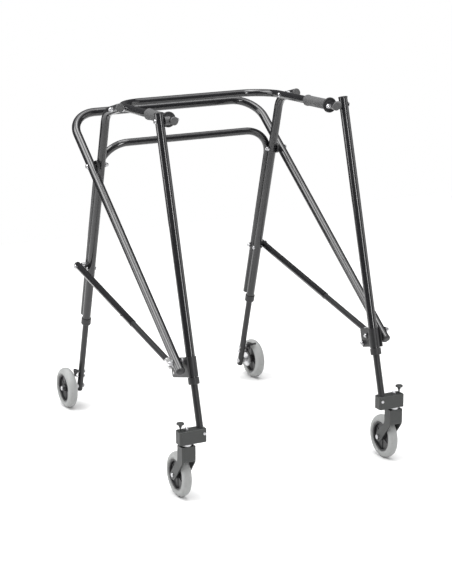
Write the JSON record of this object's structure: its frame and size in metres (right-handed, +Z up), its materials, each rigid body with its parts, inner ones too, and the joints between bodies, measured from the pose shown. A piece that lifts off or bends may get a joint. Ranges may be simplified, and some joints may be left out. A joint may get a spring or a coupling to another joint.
{
  "type": "walking frame",
  "caption": "Folding rear-bar walking frame with telescopic legs, grips, swivel front casters and ratchet rear wheels.",
  "frame": {"origin": "centre of the bounding box, on the floor", "axes": "+Z up, -Y towards the open front with the swivel casters, +X to the user's left"},
  "size_m": [0.714, 0.9636, 1.0371],
  "materials": {
    "black_paint": "gloss",
    "inner_tube": "satin",
    "dark_plastic": "matte",
    "grey_plastic": "matte",
    "grip": "matte",
    "zinc": "bright",
    "tyre": "matte",
    "hub": "satin",
    "bracket": "satin"
  },
  "bodies": {
    "rear_frame": {"rear_leg_left": "black_paint", "rear_leg_right": "black_paint", "rear_leg_plugs": "grey_plastic", "rear_leg_collars": "dark_plastic", "lower_rear_arch": "black_paint", "rear_frame_bolts": "zinc", "cross_pivot_spacers": "dark_plastic", "side_spacers": "zinc"},
    "upper_frame": {"upper_frame": "black_paint", "strut_caps": "dark_plastic"},
    "handlebar": {"handlebar": "black_paint", "handlebar_plugs": "grey_plastic", "grip_left": "grip", "grip_right": "grip", "post_pivot_spacers": "zinc", "post_pivot_bolts": "zinc"},
    "front_posts": {"front_post_left": "black_paint", "front_post_right": "black_paint", "post_caps": "dark_plastic", "post_collars": "dark_plastic", "post_bracket_left": "bracket", "post_bracket_right": "bracket", "post_bolts": "zinc"},
    "brace_outer": {"brace_outer_left": "black_paint", "brace_outer_right": "black_paint"},
    "brace_inner": {"brace_inner_left": "inner_tube", "brace_inner_right": "inner_tube", "brace_forks": "zinc"},
    "post_button_left": {"post_button_left": "zinc"},
    "brace_button_left": {"brace_button_left": "grey_plastic"},
    "front_leg_left": {"front_inner_leg_left": "inner_tube", "caster_block_left": "dark_plastic", "caster_bolts_left": "zinc"},
    "caster_left": {"caster_fork_left": "dark_plastic", "caster_axle_left": "zinc"},
    "front_wheel_left": {"front_tyre_left": "tyre", "front_hub_left": "hub"},
    "lock_knob_left": {"lock_knob_left": "dark_plastic"},
    "rear_leg_inner_left": {"rear_inner_leg_left": "inner_tube", "rear_bolts_left": "zinc"},
    "pawl_left": {"pawl_left": "dark_plastic"},
    "rear_wheel_left": {"rear_tyre_left": "tyre", "rear_hub_left": "hub", "ratchet_gear_left": "zinc"},
    "post_button_right": {"post_button_right": "zinc"},
    "brace_button_right": {"brace_button_right": "grey_plastic"},
    "front_leg_right": {"front_inner_leg_right": "inner_tube", "caster_block_right": "dark_plastic", "caster_bolts_right": "zinc"},
    "caster_right": {"caster_fork_right": "dark_plastic", "caster_axle_right": "zinc"},
    "front_wheel_right": {"front_tyre_right": "tyre", "front_hub_right": "hub"},
    "lock_knob_right": {"lock_knob_right": "dark_plastic"},
    "rear_leg_inner_right": {"rear_inner_leg_right": "inner_tube", "rear_bolts_right": "zinc"},
    "pawl_right": {"pawl_right": "dark_plastic"},
    "rear_wheel_right": {"rear_tyre_right": "tyre", "rear_hub_right": "hub", "ratchet_gear_right": "zinc"}
  },
  "joints": [
    {"name": "fold", "type": "hinge", "parent": "rear_frame", "child": "upper_frame", "pos_m": [0, 0.2017, 0.81314], "axis": [1, 0, 0], "range_deg": [0, 42]},
    {"name": "handlebar_hinge", "type": "hinge", "parent": "rear_frame", "child": "handlebar", "pos_m": [0, 0.07675, 0.99942], "axis": [1, 0, 0], "range_deg": [0, 63.3]},
    {"name": "post_hinge", "type": "hinge", "parent": "upper_frame", "child": "front_posts", "pos_m": [0, -0.3947, 0.37955], "axis": [1, 0, 0], "range_deg": [-17, 0]},
    {"name": "brace_hinge", "type": "hinge", "parent": "rear_frame", "child": "brace_outer", "pos_m": [0, 0.32432, 0.48], "axis": [1, 0, 0], "range_deg": [0, 49.8]},
    {"name": "brace_slide", "type": "slide", "parent": "brace_outer", "child": "brace_inner", "axis": [0, 0.9838, 0.1791], "range_m": [0, 0.2365]},
    {"name": "post_button_press_left", "type": "slide", "parent": "front_posts", "child": "post_button_left", "axis": [0, -0.9599, 0.2803], "range_m": [0, 0.002], "stiffness_N_per_m": 1500, "springref_m": -0.001},
    {"name": "brace_button_press_left", "type": "slide", "parent": "brace_outer", "child": "brace_button_left", "axis": [-1, 0, 0], "range_m": [0, 0.0014], "stiffness_N_per_m": 1500, "springref_m": -0.001},
    {"name": "front_height_left", "type": "slide", "parent": "front_posts", "child": "front_leg_left", "axis": [0, -0.2803, -0.9599], "range_m": [-0.05, 0.075]},
    {"name": "caster_swivel_left", "type": "hinge", "parent": "front_leg_left", "child": "caster_left", "pos_m": [0.329, -0.46265, 0.16], "axis": [0, 0, 1], "continuous": true},
    {"name": "front_wheel_spin_left", "type": "hinge", "parent": "caster_left", "child": "front_wheel_left", "pos_m": [0.329, -0.41365, 0.0635], "axis": [1, 0, 0], "continuous": true},
    {"name": "lock_pull_left", "type": "slide", "parent": "front_leg_left", "child": "lock_knob_left", "axis": [0, 0, 1], "range_m": [0, 0.006], "stiffness_N_per_m": 400, "springref_m": -0.004},
    {"name": "rear_height_left", "type": "slide", "parent": "rear_frame", "child": "rear_leg_inner_left", "axis": [0, 0.2812, -0.9597], "range_m": [-0.05, 0.075]},
    {"name": "pawl_lift_left", "type": "hinge", "parent": "rear_leg_inner_left", "child": "pawl_left", "pos_m": [0, 0.4067, 0.1135], "axis": [-1, 0, 0], "range_deg": [0, 14]},
    {"name": "rear_wheel_spin_left", "type": "hinge", "parent": "rear_leg_inner_left", "child": "rear_wheel_left", "pos_m": [0.331, 0.41835, 0.0635], "axis": [1, 0, 0], "continuous": true},
    {"name": "post_button_press_right", "type": "slide", "parent": "front_posts", "child": "post_button_right", "axis": [0, -0.9599, 0.2803], "range_m": [0, 0.002], "stiffness_N_per_m": 1500, "springref_m": -0.001},
    {"name": "brace_button_press_right", "type": "slide", "parent": "brace_outer", "child": "brace_button_right", "axis": [1, 0, 0], "range_m": [0, 0.0014], "stiffness_N_per_m": 1500, "springref_m": -0.001},
    {"name": "front_height_right", "type": "slide", "parent": "front_posts", "child": "front_leg_right", "axis": [0, -0.2803, -0.9599], "range_m": [-0.05, 0.075]},
    {"name": "caster_swivel_right", "type": "hinge", "parent": "front_leg_right", "child": "caster_right", "pos_m": [-0.329, -0.46265, 0.16], "axis": [0, 0, 1], "continuous": true},
    {"name": "front_wheel_spin_right", "type": "hinge", "parent": "caster_right", "child": "front_wheel_right", "pos_m": [-0.329, -0.41365, 0.0635], "axis": [1, 0, 0], "continuous": true},
    {"name": "lock_pull_right", "type": "slide", "parent": "front_leg_right", "child": "lock_knob_right", "axis": [0, 0, 1], "range_m": [0, 0.006], "stiffness_N_per_m": 400, "springref_m": -0.004},
    {"name": "rear_height_right", "type": "slide", "parent": "rear_frame", "child": "rear_leg_inner_right", "axis": [0, 0.2812, -0.9597], "range_m": [-0.05, 0.075]},
    {"name": "pawl_lift_right", "type": "hinge", "parent": "rear_leg_inner_right", "child": "pawl_right", "pos_m": [0, 0.4067, 0.1135], "axis": [-1, 0, 0], "range_deg": [0, 14]},
    {"name": "rear_wheel_spin_right", "type": "hinge", "parent": "rear_leg_inner_right", "child": "rear_wheel_right", "pos_m": [-0.331, 0.41835, 0.0635], "axis": [1, 0, 0], "continuous": true}
  ],
  "couplings": [
    {"joint": "handlebar_hinge", "follows": "fold", "ratio": 1.496},
    {"joint": "post_hinge", "follows": "fold", "ratio": -0.393},
    {"joint": "brace_hinge", "follows": "fold", "ratio": 1.1742},
    {"joint": "brace_slide", "follows": "fold", "m_per_rad": 0.32193}
  ]
}
